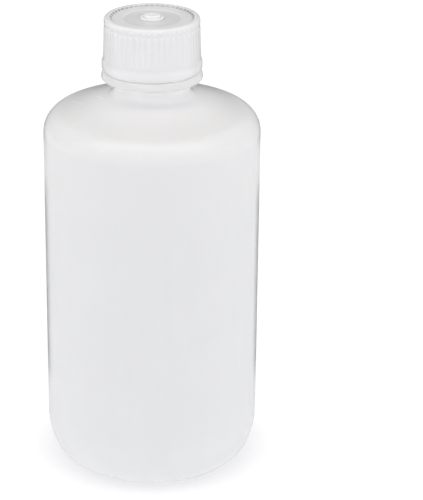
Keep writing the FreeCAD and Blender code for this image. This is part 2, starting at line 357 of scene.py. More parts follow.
def wind_thread(name, radii, threads, middle):
    """A right-hand thread on a wall: a trapezoid wound up the axis, sunk in at both ends."""
    root, crest = (radius * MM for radius in radii)
    edge = 0.08 * MM
    inset = math.copysign(0.12 * MM, crest - root)
    half_root = threads.root_width / 2
    half_crest = threads.crest_width / 2
    piece = draw_outline(name, [
        (root, middle - half_root),
        (crest - inset, middle - half_crest - edge),
        (crest, middle - half_crest + edge),
        (crest, middle + half_crest - edge),
        (crest - inset, middle + half_crest + edge),
        (root, middle + half_root),
    ])
    bpy.ops.mesh.edge_face_add()
    leave_edit()
    modifier = piece.modifiers.new("Wind", "SCREW")
    modifier.axis = "Z"
    modifier.angle = FULL_TURN * threads.turns
    modifier.screw_offset = threads.pitch * threads.turns
    modifier.steps = THREAD_STEPS
    modifier.render_steps = THREAD_STEPS
    apply_modifier(piece, modifier)
    edit_piece(piece)
    step_angle = 360 * threads.turns / THREAD_STEPS
    last_angle = (360 * threads.turns) % 360
    low_half = middle + threads.pitch / 2
    high_half = middle + threads.pitch * (threads.turns - 0.5)
    for step in range(THREAD_END_STEPS):
        share = step / THREAD_END_STEPS
        height_share = share * share * (3 - 2 * share)
        factor = (root + (crest - root) * height_share) / crest
        for angle, here in (
            (step * step_angle, lambda z: z < low_half),
            ((last_angle - step * step_angle) % 360, lambda z: z > high_half),
        ):
            found = select_points(piece, lambda p: (
                abs((azimuth(p) - angle + 180) % 360 - 180) < step_angle / 3
                and here(p.z)
                and abs(reach(p) - root) > abs(crest - root) / 2
            ))
            if not found:
                raise RuntimeError("the end of %s was not found" % name)
            stretch(factor, factor, 1)
    pick_all()
    bpy.ops.mesh.fill_holes(sides=8)
    close_up()
    leave_edit()
    return piece


def finish_piece(piece, material, body, slot, *nodes):
    """Smooth shading, material, body and the CAD nodes that the piece stands for; the slot is not
    used.
    """
    select_piece(piece)
    bpy.ops.object.shade_smooth_by_angle(angle=SMOOTH_ANGLE)
    piece.data.materials.clear()
    piece.data.materials.append(material)
    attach(piece, body)
    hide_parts(*nodes)


# ---- materials

class Wiring:
    """Places shader nodes in a tree from left to right and joins them."""

    def __init__(self, tree):
        self.tree = tree
        self.column = 0

    def add(self, kind, **settings):
        node = self.tree.nodes.new("ShaderNode" + kind)
        node.location = (self.column * 220, -(self.column % 3) * 180)
        self.column += 1
        for name, value in settings.items():
            setattr(node, name, value)
        return node

    def join(self, source, target):
        self.tree.links.new(source, target)

    def feed(self, socket, value):
        if isinstance(value, bpy.types.NodeSocket):
            self.join(value, socket)
        else:
            socket.default_value = value

    def math(self, operation, *values, clamp=False):
        node = self.add("Math", operation=operation, use_clamp=clamp)
        for socket, value in zip(node.inputs, values):
            self.feed(socket, value)
        return node.outputs[0]

    def times(self, first, *others):
        """The product of two or more numbers."""
        for other in others:
            first = self.math("MULTIPLY", first, other)
        return first

    def parts(self, vector):
        """A vector's X, Y and Z."""
        node = self.add("SeparateXYZ")
        self.join(vector, node.inputs[0])
        return node.outputs["X"], node.outputs["Y"], node.outputs["Z"]

    def vector(self, operation, *values):
        """A sum on vectors whose result is a vector."""
        node = self.add("VectorMath", operation=operation)
        for socket, value in zip(node.inputs, values):
            self.feed(socket, value)
        return node.outputs[0]

    def measure(self, operation, *vectors):
        """A sum on vectors whose result is a number."""
        return self.vector(operation, *vectors).node.outputs["Value"]

    def noise(self, vector, scale, detail, roughness=0.5, distortion=0.0):
        node = self.add("TexNoise")
        self.join(vector, node.inputs["Vector"])
        for name, value in (("Scale", scale), ("Detail", detail), ("Roughness", roughness),
                            ("Distortion", distortion)):
            self.feed(node.inputs[name], value)
        return node.outputs["Fac"]

    def ramp(self, value, stops):
        """A number that follows another through (position, number) stops, numbers up to 2."""
        node = self.add("ValToRGB")
        self.join(value, node.inputs[0])
        elements = node.color_ramp.elements
        for index, (position, number) in enumerate(stops):
            element = elements[index] if index < 2 else elements.new(position)
            element.position = position
            element.color = (number, number, number, 1)
        return node.outputs["Color"]

    def camera_sees(self, path, seen, other, leave):
        """Show one shader to camera rays and the other to all other rays."""
        both = self.add("MixShader")
        for socket, source in zip(both.inputs, (path.outputs["Is Camera Ray"], other, seen)):
            self.join(source, socket)
        self.join(both.outputs[0], self.add(leave).inputs["Surface"])

    def stretched(self, vector, scale):
        node = self.add("Mapping")
        self.join(vector, node.inputs["Vector"])
        node.inputs["Scale"].default_value = scale
        return node.outputs["Vector"]

    def span(self, value, low, high, out_low, out_high):
        """A number that follows another smoothly between two ends."""
        node = self.add("MapRange", interpolation_type="SMOOTHSTEP")
        self.join(value, node.inputs["Value"])
        for name, number in (("From Min", low), ("From Max", high),
                             ("To Min", out_low), ("To Max", out_high)):
            self.feed(node.inputs[name], number)
        return node.outputs["Result"]

    def rise(self, value, ends, top=1.0):
        """Mask that rises between two places, given in millimetres."""
        return self.span(value, ends[0] * MM, ends[1] * MM, 0.0, top)

    def fall(self, value, ends, left=0.0):
        """Mask that falls between two places, given in millimetres."""
        return self.span(value, ends[0] * MM, ends[1] * MM, 1.0, left)

    def mix(self, share, first, second):
        """A colour between two others."""
        node = self.add("Mix", data_type="RGBA")
        colours = [socket for socket in node.inputs if socket.type == "RGBA"]
        self.feed(node.inputs[0], share)
        self.feed(colours[0], first)
        self.feed(colours[1], second)
        return [socket for socket in node.outputs if socket.type == "RGBA"][0]

    def blend(self, share, first, second):
        """A number between two others."""
        node = self.add("Mix", data_type="FLOAT")
        for place, value in enumerate((share, first, second)):
            self.feed(node.inputs[(0, 2, 3)[place]], value)
        return node.outputs[0]


def fresh_net(owner):
    """The net of a material's or a world's emptied tree."""
    owner.use_nodes = True
    owner.node_tree.nodes.clear()
    return Wiring(owner.node_tree)


def start_group(name, inputs, outputs):
    """A shader node group with its named sockets, and the net to fill it."""
    group = bpy.data.node_groups.new(name, "ShaderNodeTree")
    for label, kind, value in inputs:
        socket = group.interface.new_socket(name=label, in_out="INPUT",
                                            socket_type="NodeSocket" + kind)
        if value is not None:
            socket.default_value = value
    for label, kind in outputs:
        group.interface.new_socket(name=label, in_out="OUTPUT", socket_type="NodeSocket" + kind)
    net = Wiring(group)
    entry = group.nodes.new("NodeGroupInput")
    return group, net, entry


def group_exit(net, **sockets):
    leave = net.tree.nodes.new("NodeGroupOutput")
    leave.location.x = net.column * 220
    for label, source in sockets.items():
        net.join(source, leave.inputs[label.replace("_", " ")])


def milky_clouds():
    """Colour of a milky plastic: broad clouds, streaks up the piece and a few small specks."""
    group, net, entry = start_group("Milky clouds", [
        ("Vector", "Vector", None),
        ("Clear Colour", "Color", (0.8, 0.8, 0.8, 1)),
        ("Dense Colour", "Color", (0.75, 0.75, 0.75, 1)),
        ("Cloud Scale", "Float", 40.0),
        ("Streaks", "Float", 0.3),
        ("Specks", "Float", 0.1),
    ], [("Colour", "Color")])
    vector = entry.outputs["Vector"]
    clouds = net.noise(vector, entry.outputs["Cloud Scale"], 3.0, 0.55, 0.4)
    clouds = net.span(clouds, 0.3, 0.7, 0.0, 1.0)
    drawn = net.noise(net.stretched(vector, (1.0, 1.0, 0.07)), 260.0, 2.0)
    drawn = net.span(drawn, 0.35, 0.65, 0.0, 1.0)
    share = net.math("MULTIPLY_ADD", drawn, entry.outputs["Streaks"], clouds)
    colour = net.mix(net.math("MULTIPLY", share, 0.7, clamp=True),
                     entry.outputs["Clear Colour"], entry.outputs["Dense Colour"])
    cells = net.add("TexVoronoi", feature="F1")
    net.join(vector, cells.inputs["Vector"])
    cells.inputs["Scale"].default_value = 130.0
    speck = net.span(cells.outputs["Distance"], 0.03, 0.055, 1.0, 0.0)
    speck = net.times(speck, entry.outputs["Specks"])
    group_exit(net, Colour=net.mix(speck, colour, (0.5, 0.49, 0.46, 1)))
    return group


def moulded_skin():
    """Height of a moulded skin: fine grain of the mould over slow waves of the plastic."""
    group, net, entry = start_group("Moulded skin", [
        ("Vector", "Vector", None),
        ("Grain Scale", "Float", 2500.0),
        ("Grain", "Float", 0.3),
        ("Wave Scale", "Float", 120.0),
        ("Waves", "Float", 1.0),
    ], [("Height", "Float")])
    vector = entry.outputs["Vector"]
    grain = net.noise(vector, entry.outputs["Grain Scale"], 3.0, 0.6)
    waves = net.noise(net.stretched(vector, (1.0, 1.0, 0.45)), entry.outputs["Wave Scale"],
                      2.0, 0.4)
    height = net.math("MULTIPLY_ADD", grain, entry.outputs["Grain"],
                      net.times(waves, entry.outputs["Waves"]))
    group_exit(net, Height=height)
    return group


def handling():
    """Roughness of a handled plastic: satin, with duller patches and fine level scuffs."""
    group, net, entry = start_group("Handling", [
        ("Vector", "Vector", None),
        ("Smooth", "Float", 0.3),
        ("Dull", "Float", 0.45),
        ("Patch Scale", "Float", 60.0),
        ("Scuffs", "Float", 0.1),
    ], [("Roughness", "Float")])
    vector = entry.outputs["Vector"]
    patches = net.noise(vector, entry.outputs["Patch Scale"], 4.0, 0.6)
    base = net.span(patches, 0.3, 0.7, entry.outputs["Smooth"], entry.outputs["Dull"])
    scuffs = net.noise(net.stretched(vector, (1.0, 1.0, 9.0)), 420.0, 2.0, 0.5, 0.8)
    scuffs = net.span(scuffs, 0.62, 0.72, 0.0, 1.0)
    roughness = net.math("MULTIPLY_ADD", scuffs, entry.outputs["Scuffs"], base)
    group_exit(net, Roughness=roughness)
    return group


def place_group(net, group, vector, **values):
    node = net.add("Group")
    node.node_tree = group
    net.join(vector, node.inputs["Vector"])
    for label, value in values.items():
        node.inputs[label.replace("_", " ")].default_value = value
    return node


def group_named(name, maker):
    return bpy.data.node_groups.get(name) or maker()


def line_mark(net, place, start, end, width):
    """Mask of a thin straight mark between two points, given in millimetres."""
    along = [(b - a) * MM for a, b in zip(start, end)]
    away = net.vector("SUBTRACT", place, [value * MM for value in start])
    onto = net.measure("DOT_PRODUCT", away, along)
    share = net.math("DIVIDE", onto, sum(value * value for value in along), clamp=True)
    reached = net.vector("SCALE", along)
    net.join(share, reached.node.inputs["Scale"])
    return net.span(net.measure("DISTANCE", away, reached), width * 0.4, width, 1.0, 0.0)


def plastic(name, look, clear, denser, depth, clouds, skin, wear, bump, painted_light_and_shade=None, lit=None):
    """A milky plastic from the shared groups, with this piece's own values."""
    clear = list(clear)
    dense = [channel * denser for channel in clear]
    material = bpy.data.materials.new(name)
    net = fresh_net(material)
    place = net.add("TexCoord").outputs["Object"]
    colour = place_group(net, group_named("Milky clouds", milky_clouds), place,
                         Clear_Colour=(*clear, 1), Dense_Colour=(*dense, 1), **clouds)
    height = place_group(net, group_named("Moulded skin", moulded_skin), place, **skin)
    rough = place_group(net, group_named("Handling", handling), place, **wear)
    relief = net.add("Bump")
    relief.inputs["Strength"].default_value = bump[0]
    relief.inputs["Distance"].default_value = bump[1]
    shader = net.add("BsdfPrincipled")
    leave = net.add("OutputMaterial")
    shade = colour.outputs["Colour"]
    # painted light and shade laid over the plastic's own colour
    if painted_light_and_shade is not None:
        shade = painted_light_and_shade(net, place, shade)
    # lit paints a glow: light emitted by the piece itself, though it is no lamp
    if lit is not None:
        net.join(lit(net, place), shader.inputs["Emission Color"])
        shader.inputs["Emission Strength"].default_value = look.painted_glow_strength
    net.join(height.outputs["Height"], relief.inputs["Height"])
    for label, value in (
        ("Base Color", shade), ("Roughness", rough.outputs["Roughness"]),
        ("Normal", relief.outputs["Normal"]), ("IOR", look.ior), ("Subsurface Weight", look.glow),
        ("Subsurface Radius", (1.0, 0.98, 0.94)), ("Subsurface Scale", depth),
    ):
        net.feed(shader.inputs[label], value)
    net.join(shader.outputs["BSDF"], leave.inputs["Surface"])
    return material


# ---- settings

class ThreadSizes(bpy.types.PropertyGroup):
    """Sizes that the bottle's thread and the cap's thread share."""
    pitch: FloatProperty(
        name="Pitch", description="Rise of the thread in one turn",
        default=3.175 * MM, unit="LENGTH")
    turns: FloatProperty(name="Turns", description="Turns of each thread", default=1.75)
    root_width: FloatProperty(
        name="Root width", description="Width of a thread at its root",
        default=1.9 * MM, unit="LENGTH")
    crest_width: FloatProperty(
        name="Crest width", description="Width of a thread at its crest",
        default=0.8 * MM, unit="LENGTH")
    start: FloatProperty(
        name="Start", description="Height of the bottle's thread where it starts",
        default=120.5 * MM, unit="LENGTH")


class PlasticLook(bpy.types.PropertyGroup):
    """How the milky plastics look."""
    bottle_colour: FloatVectorProperty(
        name="Bottle", description="Colour of the bottle's plastic",
        default=(0.875, 0.875, 0.885), size=3, subtype="COLOR", min=0, max=1)
    cap_colour: FloatVectorProperty(
        name="Cap", description="Colour of the cap's plastic",
        default=(0.70, 0.70, 0.715), size=3, subtype="COLOR", min=0, max=1)
    seal_colour: FloatVectorProperty(
        name="Seal", description="Colour of the sealing insert's plastic",
        default=(0.93, 0.93, 0.93), size=3, subtype="COLOR", min=0, max=1)
    ior: FloatProperty(
        name="Index of refraction", description="Index of refraction of the plastics",
        default=1.5, min=1.3, max=1.8)
    glow: FloatProperty(
        name="Glow", description="Share of the light that passes into the plastic",
        default=1.0, min=0, max=1, subtype="FACTOR")
    bottle_depth: FloatProperty(
        name="Bottle depth", description="How far light spreads inside the bottle's plastic",
        default=5.0 * MM, unit="LENGTH")
    # Strength of the painted glow on the neck and of the painted scratch glints
    painted_glow_strength: FloatProperty(
        name="Inner light", description="Light that shows through the neck", default=0.06, min=0)
    cap_depth: FloatProperty(
        name="Cap depth", description="How far light spreads inside the cap's plastic",
        default=2.5 * MM, unit="LENGTH")


class StageLook(bpy.types.PropertyGroup):
    """The camera, the floor and the lights."""
    lens: FloatProperty(
        name="Lens", description="Focal length of the camera, in millimetres", default=158.18)
    tilt: FloatProperty(
        name="Tilt", description="How far the camera looks down from level",
        default=math.radians(22.825), subtype="ANGLE")
    distance: FloatProperty(
        name="Distance", description="Camera's distance in front of the bottle's axis",
        default=0.5824, unit="LENGTH")
    height: FloatProperty(
        name="Height", description="Camera's height above the floor", default=0.3081, unit="LENGTH")
    left_of_middle: FloatProperty(
        name="Left of middle", description="How far left of the picture's middle the bottle stands",
        default=0.1189, min=-0.5, max=0.5)
    floor_radius: FloatProperty(
        name="Floor radius", description="Radius of the round floor", default=2.5, unit="LENGTH")
    floor_glow: FloatProperty(
        name="Floor glow", description="Light that the floor adds of its own", default=0.60)
    surround: FloatProperty(
        name="Surround", description="Brightness of the white surround", default=1.0)
    overhead: FloatProperty(
        name="Overhead light", description="Power of the soft light above, a little in front",
        default=3.6, unit="POWER")


# ---- pieces

class BOTTLE_OT_bottle(bpy.types.Operator):
    """Turn the blown bottle, raise its parting line and wind its thread"""
    bl_idname = "bottle.make_bottle"
    bl_label = "Bottle"

    def execute(self, context):
        look = context.scene.bottle_plastics
        threads = context.scene.bottle_threads
        body = BOTTLE_HIGH.y / MM
        lip = BOTTLE_HIGH.z / MM
        piece = turn_piece("bottle", in_metres(self.outline(body, lip)), BOTTLE_COLUMNS)
        self.raise_parting_line(piece, PARTING_ANGLE)
        leave_edit()
        unite(piece, wind_thread("bottle_thread", BOTTLE_THREAD, threads, threads.start))
        unite(piece, self.pinch_off_bar(PARTING_ANGLE))
        material = plastic(
            "Blown polyethylene", look, look.bottle_colour, DENSER, look.bottle_depth,
            {"Cloud_Scale": 45.0, "Streaks": 0.35, "Specks": 0.05},
            {"Grain_Scale": 2600.0, "Grain": 0.25, "Wave_Scale": 95.0, "Waves": 1.0},
            {"Smooth": 0.13, "Dull": 0.19, "Patch_Scale": 55.0, "Scuffs": 0.05},
            (0.35, 0.10 * MM),
            self.painted_light_and_shade,
            self.painted_neck_glow,
        )
        finish_piece(piece, material, "bottle_body", "bottle_plastic", "bottle")
        return {"FINISHED"}

    @staticmethod
    def outline(body, lip):
        """The bottle's outline in millimetres, up the outside from the base and down the inside."""
        shoulder_centre = (body - SHOULDER_ROUND, WALL_TOP)
        dome_centre = (0, PUSH_UP - DOME_RADIUS)
        dome = arc(dome_centre, DOME_RADIUS, 90, DOME_EDGE, 12)
        ring = [point for point in dome if point[0] < 8]
        ring += [(8.4, 1.80), (8.7, 1.66), (9.3, 1.62), (9.6, 1.70)]
        ring += [point for point in dome if 10.5 < point[0] < 19]
        outside = ring + [(19.35, 0.1), (19.6, 0.02), (19.9, 0.0), (21.6, 0.0)]
        outside += arc(FOOT_CENTRE, FOOT_ROUND, -90, -HEEL_TURN, 16)
        outside += arc(HEEL_CENTRE, HEEL_RADIUS, -HEEL_TURN, 0, 10)
        outside += run((body, HEEL_TOP), (body, WALL_TOP), 24)
        outside += arc(shoulder_centre, SHOULDER_ROUND, 0, SHOULDER_TURN, 20)
        outside += run((26.009, 105.882), (12.818, 110.168), 10)
        outside += arc((NECK_RADIUS + 3.5, 113.497), 3.5, 180 + SHOULDER_TURN, 180, 12)
        outside += [(NECK_RADIUS, BEAD_FOOT - 0.2)]
        outside += arc((NECK_RADIUS + 0.2, BEAD_FOOT - 0.2), 0.2, 180, 90, 3)
        outside += arc((13.25, BEAD_FOOT + 0.9), 0.9, -90, 0, 12)
        outside += [(14.13, 116.2), (14.06, 116.5), (13.95, 116.8), (13.79, 117.1), (13.58, 117.36)]
        outside += [(13.45, 117.52), (13.3, 117.61), (12.8, BEAD_TOP), (11.0, BEAD_TOP)]
        outside += arc((FINISH_RADIUS + 0.2, 117.8), 0.2, 270, 180, 3)
        outside += run((FINISH_RADIUS, 117.8), (FINISH_RADIUS, lip - 0.6), 8)
        outside += arc((FINISH_RADIUS - 0.6, lip - 0.6), 0.6, 0, 90, 6)
        outside += [(9.3, lip), (8.9, lip)]
        outside += arc((BORE_RADIUS + 0.5, lip - 0.5), 0.5, 90, 180, 5)
        inside = run((BORE_RADIUS, lip - 0.5), (BORE_RADIUS, BORE_FOOT[1]), 8)
        inside += arc(BORE_FOOT, BORE_FOOT[0] - BORE_RADIUS, 180, 180 + SHOULDER_TURN, 10)
        inside += run((10.964, 109.508), (25.638, 104.741), 8)
        inside += arc(shoulder_centre, SHOULDER_ROUND - WALL, SHOULDER_TURN, 0, 14)
        inside += run((body - WALL, WALL_TOP), (body - WALL, HEEL_TOP), 12)
        inside += arc(HEEL_CENTRE, HEEL_RADIUS - WALL, 0, -HEEL_TURN, 8)
        inside += arc(FOOT_CENTRE, FOOT_ROUND - WALL, -HEEL_TURN, -90, 10)
        inner_dome = arc(dome_centre, DOME_RADIUS, 90, DOME_EDGE, 8)
        inside += [(point[0] * 0.998, point[1] + WALL) for point in reversed(inner_dome)]
        return outside + inside

    @staticmethod
    def painted_light_and_shade(net, place, colour):
        """Painted light and shade by height: a lighter upper body and shoulder, a lighter neck foot,
        a darker bead, a darker finish and thread under the cap, and a lighter band over the groove
        above the bead.
        """
        height = net.parts(place)[2]
        # painted light and shade, band by band
        for rise, falls, painted_colour in BOTTLE_PAINTED_LIGHT:
            mask = net.rise(height, rise)
            for start, end, left in falls:
                mask = net.times(mask, net.fall(height, (start, end), left))
            colour = net.mix(mask, colour, (*painted_colour, 1))
        return colour

    @staticmethod
    def painted_neck_glow(net, place):
        """Painted glow on the bottle's narrow neck, and painted glints along its scratches, as
        emitted light.
        """
        height = net.parts(place)[2]
        glow = net.times(net.rise(height, NECK_LIT_FROM), net.fall(height, NECK_LIT_TO))
        for start, end, strength in SCRATCH_GLINTS:
            glint_line = line_mark(net, place, start, end, SCRATCH_WIDTH)
            glow = net.math("ADD", glow, net.times(glint_line, strength * SCRATCH_LIGHT))
        return glow

    @staticmethod
    def raise_parting_line(piece, angle):
        """A fine ridge up both sides where the mould's halves meet."""
        for offset in (-PARTING_WIDTH, PARTING_WIDTH):
            turn = math.radians(angle + offset)
            pick_all()
            bpy.ops.mesh.bisect(plane_co=(0, 0, 0), plane_no=(-math.sin(turn), math.cos(turn), 0))
        select_points(piece, lambda p: (
            min(abs(azimuth(p) - angle), abs(azimuth(p) - angle - 180)) < PARTING_WIDTH / 2
            and PARTING_LOW * MM < p.z < PARTING_HIGH * MM
            and (reach(p) > PARTING_WALL * MM or p.z > PARTING_NECK * MM
                 or (p.z < PARTING_HEEL * MM and reach(p) > PARTING_FOOT * MM))
        ))
        stretch(PARTING_RISE, PARTING_RISE, 1.0)

    @staticmethod
    def pinch_off_bar(angle):
        """The short raised weld across the middle of the base."""
        select_nothing()
        bpy.ops.mesh.primitive_cube_add(size=1, location=(0, 0, 0))
        bar = bpy.context.object
        bpy.ops.object.mode_set(mode="EDIT")
        pick_all()
        stretch(13 * MM, 0.8 * MM, 1.0 * MM)
        bpy.ops.transform.translate(value=(0, 0, 2.45 * MM))
        bpy.ops.transform.rotate(value=math.radians(-angle), orient_axis="Z",
                                 center_override=(0, 0, 0))
        select_points(bar, lambda p: p.z < 2.2 * MM)
        stretch(0.94, 0.55, 1)
        leave_edit()
        return bar


class BOTTLE_OT_seal(bpy.types.Operator):
    """Turn the sealing insert: a flange on the lip and a hollow plug in the bore"""
    bl_idname = "bottle.make_seal"
    bl_label = "Sealing insert"

    def execute(self, context):
        look = context.scene.bottle_plastics
        lip = BOTTLE_HIGH.z / MM
        top = SEAL_HIGH.z / MM
        edge = SEAL_HIGH.y / MM
        outline = [(0, lip + 0.02), (2.0, lip + 0.02), (2.2, lip + 0.12)]
        outline += [(5.6, lip + 0.12), (5.9, lip + 0.02)]
        outline += [(6.75, lip + 0.02), (7.0, lip - 0.15)]
        outline += run((7.0, lip - 0.3), (6.6, lip - 4.6), 6)
        outline += arc((6.95, lip - 4.65), 0.35, 180, 300, 6)
        outline += run((7.4, lip - 4.75), (7.75, lip - 2.4), 3)
        outline += [(7.95, lip - 2.1), (8.0, lip - 1.8), (7.98, lip - 1.5), (7.9, lip - 1.2)]
        outline += [(7.95, lip - 0.4), (8.1, lip - 0.12), (8.4, lip + 0.02)]
        outline += [(9.2, lip + 0.02), (9.35, lip + 0.1), (10.2, lip + 0.1), (10.35, lip + 0.02)]
        outline += arc((edge - 0.25, lip + 0.27), 0.25, -90, 0, 4)
        outline += arc((edge - 0.25, top - 0.27), 0.25, 0, 90, 4)
        outline += [(10.6, top - 0.02), (10.5, top - 0.12), (7.6, top - 0.12)]
        outline += [(7.5, top - 0.02), (1.4, top - 0.02), (1.25, top - 0.14), (0, top - 0.14)]
        piece = turn_piece("seal_insert", in_metres(outline), SEAL_COLUMNS)
        leave_edit()
        material = plastic(
            "Soft seal polyethylene", look, look.seal_colour, SEAL_DENSER, look.bottle_depth,
            {"Cloud_Scale": 130.0, "Streaks": 0.1, "Specks": 0.0},
            {"Grain_Scale": 3200.0, "Grain": 0.3, "Wave_Scale": 300.0, "Waves": 0.5},
            {"Smooth": 0.38, "Dull": 0.52, "Patch_Scale": 140.0, "Scuffs": 0.05},
            (0.3, 0.05 * MM),
        )
        finish_piece(piece, material, "seal_body", "seal_plastic", "seal_insert")
        return {"FINISHED"}


class BOTTLE_OT_cap(bpy.types.Operator):
    """Model one rib's share of the cap, copy it round, then finish the boss and inner thread"""
    bl_idname = "bottle.make_cap"
    bl_label = "Screw cap"

    def execute(self, context):
        look = context.scene.bottle_plastics
        ribs = context.scene.bottle_cap
        threads = context.scene.bottle_threads
        share = FULL_TURN / ribs.rib_count
        piece = draw_outline("cap", in_metres(self.outline()))
        spin(RIB_COLUMNS, share, dupli=False)
        bpy.ops.mesh.remove_doubles(threshold=MERGE_DISTANCE)
        self.shape_rib(piece, ribs)
        self.notch_recess(piece, ribs)
        pick_all()
        spin(ribs.rib_count, FULL_TURN, dupli=True, use_auto_merge=False)
        close_up()
        self.bridge_moat(piece)
        leave_edit()
        unite(piece, wind_thread("cap_thread", CAP_THREAD, threads,
                                 threads.start - threads.pitch / 2))
        material = plastic(
            "Moulded polypropylene", look, look.cap_colour, DENSER, look.cap_depth,
            {"Cloud_Scale": 110.0, "Streaks": 0.15, "Specks": 0.05},
            {"Grain_Scale": 3500.0, "Grain": 0.12, "Wave_Scale": 260.0, "Waves": 0.25},
            {"Smooth": 0.18, "Dull": 0.25, "Patch_Scale": 120.0, "Scuffs": 0.02},
            (0.3, 0.04 * MM),
            self.painted_light_and_shade,
        )
        finish_piece(piece, material, "cap_body", "cap_plastic", "cap")
        return {"FINISHED"}

    @staticmethod
    def outline():
        """The cap's outline over its ribs in millimetres, from the ceiling out and up to the boss."""
        low = CAP_LOW.z / MM
        boss = CAP_HIGH.z / MM
        rim = boss - RIM_HEIGHT
        floor = rim - RECESS_DEPTH
        plug = floor - PLUG_DIP
        ceiling = SEAL_HIGH.z / MM
        inside = [(0, ceiling), (1.2, ceiling), (4.0, ceiling), (7.8, ceiling)]
        inside += [(8.0, ceiling + 0.1), (10.0, ceiling + 0.1), (10.2, ceiling)]
        inside += arc((CAP_BORE - 0.2, ceiling - 0.2), 0.2, 90, 0, 3)
        inside += [(CAP_BORE, CATCH_TOP + 0.15)]
        inside += arc((CATCH_RADIUS + 0.15, CATCH_TOP), 0.15, 90, 180, 3)
        inside += [(CATCH_RADIUS, CATCH_TOP - 0.25), (CATCH_RADIUS + 0.15, CATCH_TOP - 0.4)]
        inside += [(CAP_BORE, CATCH_TOP - 1.0)]
        inside += run((CAP_BORE, CATCH_TOP - 1.0), (CAP_BORE, low + 0.6), 8)
        inside += [(12.12, low + 0.4), (12.45, low + 0.06), (12.6, low)]
        skirt = [(13.2, low), (13.48, low + 0.02), (13.58, low + 0.1), (13.88, low + 0.62)]
        skirt += [(13.96, low + 0.8)] + run((BAND_RADIUS, low + 1.0), (BAND_RADIUS, BAND_TOP), 3)
        skirt += ease((BAND_RADIUS, BAND_TOP), (SKIRT_RADIUS, SKIRT_FOOT), 8)
        skirt += run((SKIRT_RADIUS, SKIRT_FOOT), (13.36, TEETH_LOW), 12)
        skirt += run((13.36, TEETH_LOW), (13.34, TEETH_HIGH), 4)
        skirt += run((13.34, TEETH_HIGH), (RIM_RADIUS, RIM_FOOT), 12)
        skirt += [(RIM_RADIUS, RIM_FOOT + 0.1)] + arc((RIM_RADIUS - 0.8, rim - 0.8), 0.8, 0, 90, 9)
        top = [(12.2, rim), (11.85, rim)] + arc((11.85, rim - 0.16), 0.16, 90, 160, 3)
        top += run((11.66, rim - 0.12), (11.42, rim - 0.44), 4)
        top += [(11.36, floor + 0.02), (11.25, floor), (9.5, floor), (8.05, floor)]
        top += [(7.92, floor - 0.03), (7.86, floor - 0.12), (7.7, plug)]
        top += [(5.5, plug), (3.5, plug), (3.3, floor - 0.12), (3.26, floor + 0.1)]
        top += arc((3.06, floor + 0.2), 0.2, 0, 90, 4)
        top += [(2.62, floor + 0.4), (2.56, floor + 0.34), (2.50, floor + 0.18)]
        top += [(2.34, floor + 0.18), (2.28, floor + 0.34), (2.2, boss - 0.18)]
        top += arc((2.02, boss - 0.18), 0.18, 0, 90, 4)
        top += [(1.2, boss), (0.5, boss - 0.03), (0.42, boss - 0.1), (0, boss - 0.12)]
        return inside + skirt + top

    @staticmethod
    def painted_light_and_shade(net, place, colour):
        """Painted light and shade: the top's rings, dark dashes on the recess wall, a highlight on
        the low edge, shade on the flanks and glints on the rib tops.
        """
        x, y, height = net.parts(place)
        across = net.measure("LENGTH", net.stretched(place, (1.0, 1.0, 0.0)))
        turn = net.times(net.math("ARCTAN2", y, x), float(RIB_COUNT))
        toward = net.math("DIVIDE", y, across)
        aside = net.math("DIVIDE", net.math("ABSOLUTE", x), across)
        high = net.rise(height, CAP_TOP_FROM)
        # painted light and shade on the top's rings
        for rise, fall, turned, painted_colour in CAP_TOP_LIGHT_AND_SHADE:
            mask = high
            if rise is not None:
                mask = net.times(mask, net.rise(across, rise))
            if fall is not None:
                mask = net.times(mask, net.fall(across, fall))
            if turned is not None:
                mask = net.times(mask, net.span(toward, *turned))
            colour = net.mix(mask, colour, (*painted_colour, 1))
        # painted shade: dark slanted dashes on the recess wall, stronger towards the sides
        slanted = net.math("ADD", turn, net.times(across, DASH_SHADE_SLANT))
        dash_shade = net.times(
            net.span(net.math("COSINE", slanted), 0.0, 0.5, 0.0, 1.0), high,
            net.rise(across, DASH_SHADE_RADII[0]), net.fall(across, DASH_SHADE_RADII[1]),
            net.fall(height, DASH_SHADE_TOP), net.span(aside, 0.40, 0.90, 0.15, 0.9),
        )
        colour = net.mix(dash_shade, colour, (*DASH_SHADE_COLOUR, 1))
        # painted highlight: the cap's low edge lighter
        low_edge_highlight = net.fall(height, LOW_EDGE_HIGHLIGHT_HEIGHTS)
        colour = net.mix(low_edge_highlight, colour, (*LOW_EDGE_HIGHLIGHT_COLOUR, 1))
        # painted shade: the skirt darker on its left and right flanks
        outer = net.rise(across, SKIRT_RADII)
        flank_shade = net.times(net.span(aside, 0.68, 0.98, 0.0, 1.0), outer)
        colour = net.mix(flank_shade, colour, (*FLANK_SHADE_COLOUR, 1))
        # painted glints: short bright dashes on the slanted rib tops
        leaning = net.math("ADD", net.math("ADD", turn, GLINT_PHASE),
                           net.times(height, GLINT_SLANT))
        bright = net.span(net.math("COSINE", leaning), 0.45, 0.85, 0.0, 1.0)
        upper = net.times(net.rise(height, UPPER_GLINTS[0]),
                          net.fall(height, UPPER_GLINTS[1]))
        lower = net.times(net.rise(height, LOWER_GLINTS[0], LOWER_GLINT_SHARE),
                          net.fall(height, LOWER_GLINTS[1]))
        rib_glints = net.times(bright, net.math("MAXIMUM", upper, lower), outer)
        return net.mix(rib_glints, colour, (*GLINT_COLOUR, 1))

    @staticmethod
    def shape_rib(piece, ribs):
        """Sink the valleys beside the rib, slant the rib's top and leave teeth under the rim."""
        def depth(side, height):
            if height > TOOTH_FOOT + TOOTH_SLANT * side or height < SKIRT_FOOT:
                return 0.0
            sunk = RIB_VALLEYS[side] * ribs.rib_depth / MM
            sunk *= min(1.0, (height - SKIRT_FOOT) / VALLEY_FADE)
            tooth = (height - TEETH_LOW) / (TOOTH_FULL - TEETH_LOW)
            return max(sunk, TOOTH_DEPTH * min(1.0, tooth))

